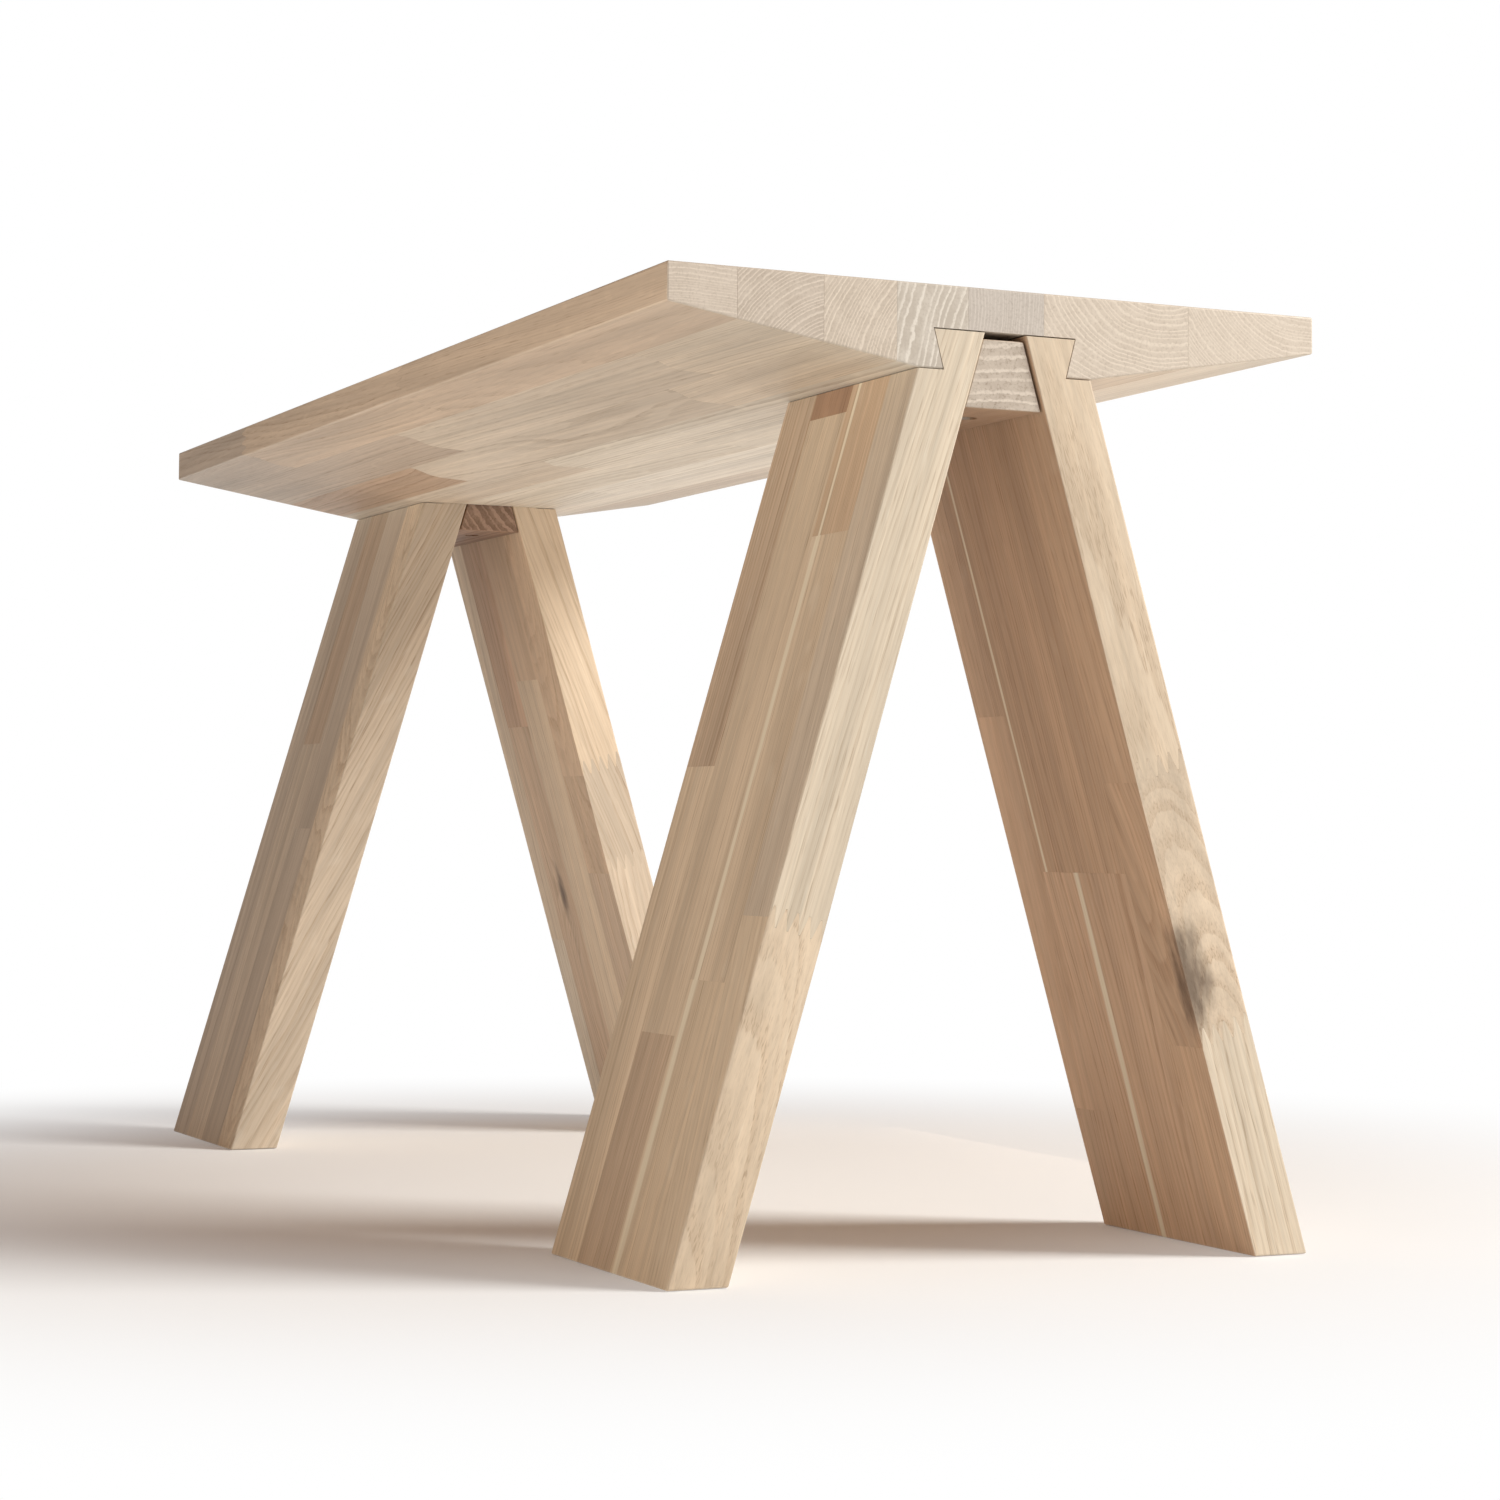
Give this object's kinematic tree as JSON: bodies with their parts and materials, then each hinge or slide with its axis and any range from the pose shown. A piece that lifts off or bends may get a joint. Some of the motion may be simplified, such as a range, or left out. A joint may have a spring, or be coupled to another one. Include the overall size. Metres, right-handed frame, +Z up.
{
  "type": "trestle bench",
  "caption": "Solid oak saw bench: flat board with thin edges on two pairs of splayed board legs, dovetailed in and locked by wedge blocks.",
  "frame": {"origin": "on the floor, under the middle of the bench", "axes": "+X towards the front end, along the bench; +Y towards the right long side; +Z up"},
  "size_m": [0.86, 0.35, 0.464],
  "materials": {
    "oak_top": "pale oak, white-oiled and matt, with visible pores and growth rings",
    "oak_legs": "pale oak, white-oiled and matt, long straight grain down the leg",
    "oak_blocks": "pale oak, sawn end grain, matt",
    "screw_steel": "plain steel, slightly dulled"
  },
  "bodies": {
    "root": {"leg_front_left_stave_1_a": "oak_legs", "leg_front_left_stave_1_b": "oak_legs", "leg_front_left_stave_2_a": "oak_legs", "leg_front_left_stave_2_b": "oak_legs", "leg_front_left_stave_2_c": "oak_legs", "leg_front_left_stave_3_a": "oak_legs", "leg_front_left_stave_3_b": "oak_legs", "leg_front_left_stave_3_c": "oak_legs", "leg_front_left_stave_4_a": "oak_legs", "leg_front_left_stave_4_b": "oak_legs", "leg_front_right_stave_1_a": "oak_legs", "leg_front_right_stave_1_b": "oak_legs", "leg_front_right_stave_1_c": "oak_legs", "leg_front_right_stave_2_a": "oak_legs", "leg_front_right_stave_2_b": "oak_legs", "leg_front_right_stave_3_a": "oak_legs", "leg_front_right_stave_3_b": "oak_legs", "leg_front_right_stave_3_c": "oak_legs", "leg_rear_left_stave_1_a": "oak_legs", "leg_rear_left_stave_2_a": "oak_legs", "leg_rear_left_stave_2_b": "oak_legs", "leg_rear_left_stave_3_a": "oak_legs", "leg_rear_left_stave_3_b": "oak_legs", "leg_rear_left_stave_4_a": "oak_legs", "leg_rear_right_stave_1_a": "oak_legs", "leg_rear_right_stave_1_b": "oak_legs", "leg_rear_right_stave_1_c": "oak_legs", "leg_rear_right_stave_2_a": "oak_legs", "leg_rear_right_stave_2_b": "oak_legs", "leg_rear_right_stave_3_a": "oak_legs", "leg_rear_right_stave_3_b": "oak_legs", "leg_rear_right_stave_4_a": "oak_legs", "leg_rear_right_stave_4_b": "oak_legs", "locking_block_front": "oak_blocks", "locking_block_rear": "oak_blocks", "screw_front_inner": "screw_steel", "screw_front_outer": "screw_steel", "screw_rear_inner": "screw_steel", "screw_rear_outer": "screw_steel", "top_stave_1_a": "oak_top", "top_stave_1_b": "oak_top", "top_stave_1_c": "oak_top", "top_stave_2_a": "oak_top", "top_stave_2_b": "oak_top", "top_stave_2_c": "oak_top", "top_stave_3_a": "oak_top", "top_stave_3_b": "oak_top", "top_stave_3_c": "oak_top", "top_stave_4_a": "oak_top", "top_stave_4_b": "oak_top", "top_stave_5_a": "oak_top", "top_stave_5_b": "oak_top", "top_stave_6_a": "oak_top", "top_stave_6_b": "oak_top", "top_stave_6_c": "oak_top", "top_stave_7_a": "oak_top", "top_stave_7_b": "oak_top"}
  },
  "joints": []
}
